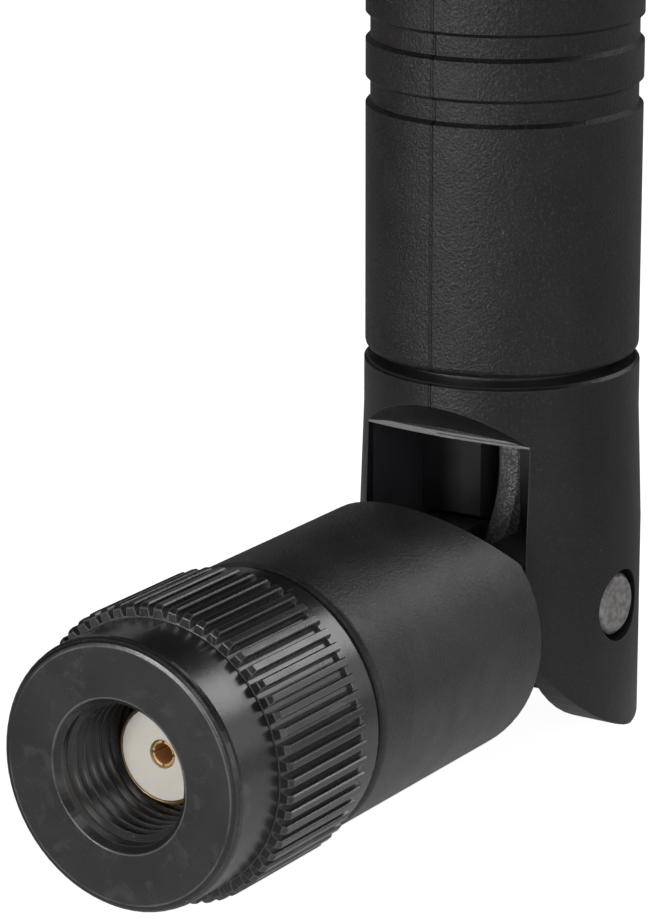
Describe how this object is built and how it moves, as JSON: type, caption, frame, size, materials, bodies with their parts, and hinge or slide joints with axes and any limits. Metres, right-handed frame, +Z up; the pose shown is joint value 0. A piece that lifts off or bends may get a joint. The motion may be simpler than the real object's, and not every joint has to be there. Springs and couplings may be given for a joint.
{
  "type": "antenna",
  "caption": "Hinged black whip antenna on a knurled coaxial screw plug, mast bent at a right angle, with its cable, radiator and pins inside.",
  "frame": {"origin": "centre of the plug's mating plane, the face of the white insulator, on the arm's axis", "axes": "+Z up along the mast, -Y the way the plug faces, the arm runs along +Y to the hinge, X along the hinge pins"},
  "size_m": [0.0136, 0.0383, 0.1718],
  "materials": {
    "nut_black": "black metal with a soft shine",
    "satin_black_plastic": "satin black moulded plastic",
    "matt_black_plastic": "fine-grained matt black moulded plastic",
    "grey_steel": "plain grey steel",
    "gold_plate": "gold plating over brass",
    "brass": "plain drawn brass",
    "white_dielectric": "waxy white fluoropolymer",
    "natural_nylon": "natural nylon",
    "black_jacket": "smooth black cable jacket"
  },
  "bodies": {
    "arm": {"swivel_arm": "satin_black_plastic", "connector_body": "gold_plate", "dielectric": "white_dielectric", "center_contact": "gold_plate", "retaining_ring": "grey_steel", "crimp_ferrule": "brass", "coax_cable": "black_jacket"},
    "nut": {"coupling_nut": "nut_black"},
    "mast": {"radome": "matt_black_plastic", "hinge_fork": "satin_black_plastic", "hinge_pin_right": "grey_steel", "hinge_pin_left": "grey_steel", "lower_spacer": "natural_nylon", "radiator_sleeve": "brass", "feed_insulator": "white_dielectric", "shrink_tube": "black_jacket", "upper_radiator": "brass", "top_spacer": "natural_nylon"}
  },
  "joints": [
    {"name": "nut_turn", "type": "hinge", "parent": "arm", "child": "nut", "pos_m": [0, 0, 0], "axis": [0, 1, 0], "continuous": true},
    {"name": "mast_fold", "type": "hinge", "parent": "arm", "child": "mast", "pos_m": [0, 0.02825, 0], "axis": [-1, 0, 0], "range_deg": [0, 90], "deforming": ["coax_cable"]}
  ]
}
